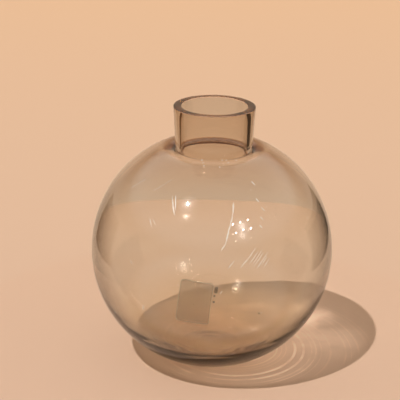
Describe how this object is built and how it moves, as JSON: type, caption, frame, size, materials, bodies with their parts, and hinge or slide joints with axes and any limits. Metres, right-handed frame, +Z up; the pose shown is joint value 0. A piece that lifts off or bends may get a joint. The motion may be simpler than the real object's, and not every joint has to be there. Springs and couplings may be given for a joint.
{
  "type": "glass bud vase",
  "caption": "Round globe bud vase in smoky glass with a thick straight collar neck, a flat foot and a small clear film label low on its back.",
  "frame": {"origin": "centre of the foot, on the surface that the vase stands on", "axes": "+Z up along the axis of the neck; +Y points to the back, where the film label is; +X to the right as seen from the front"},
  "size_m": [0.12, 0.12, 0.131],
  "materials": {
    "smoke_glass": "clear, polished, lightly scratched",
    "deep_smoke_glass": "clear, polished",
    "collar_glass": "clear, fire polished",
    "clear_film": "thin clear film, a little wrinkled",
    "dried_adhesive": "dull"
  },
  "bodies": {
    "root": {"globe": "smoke_glass", "base_pad": "deep_smoke_glass", "neck_collar": "collar_glass", "film_label": "clear_film", "adhesive_residue": "dried_adhesive"}
  },
  "joints": []
}
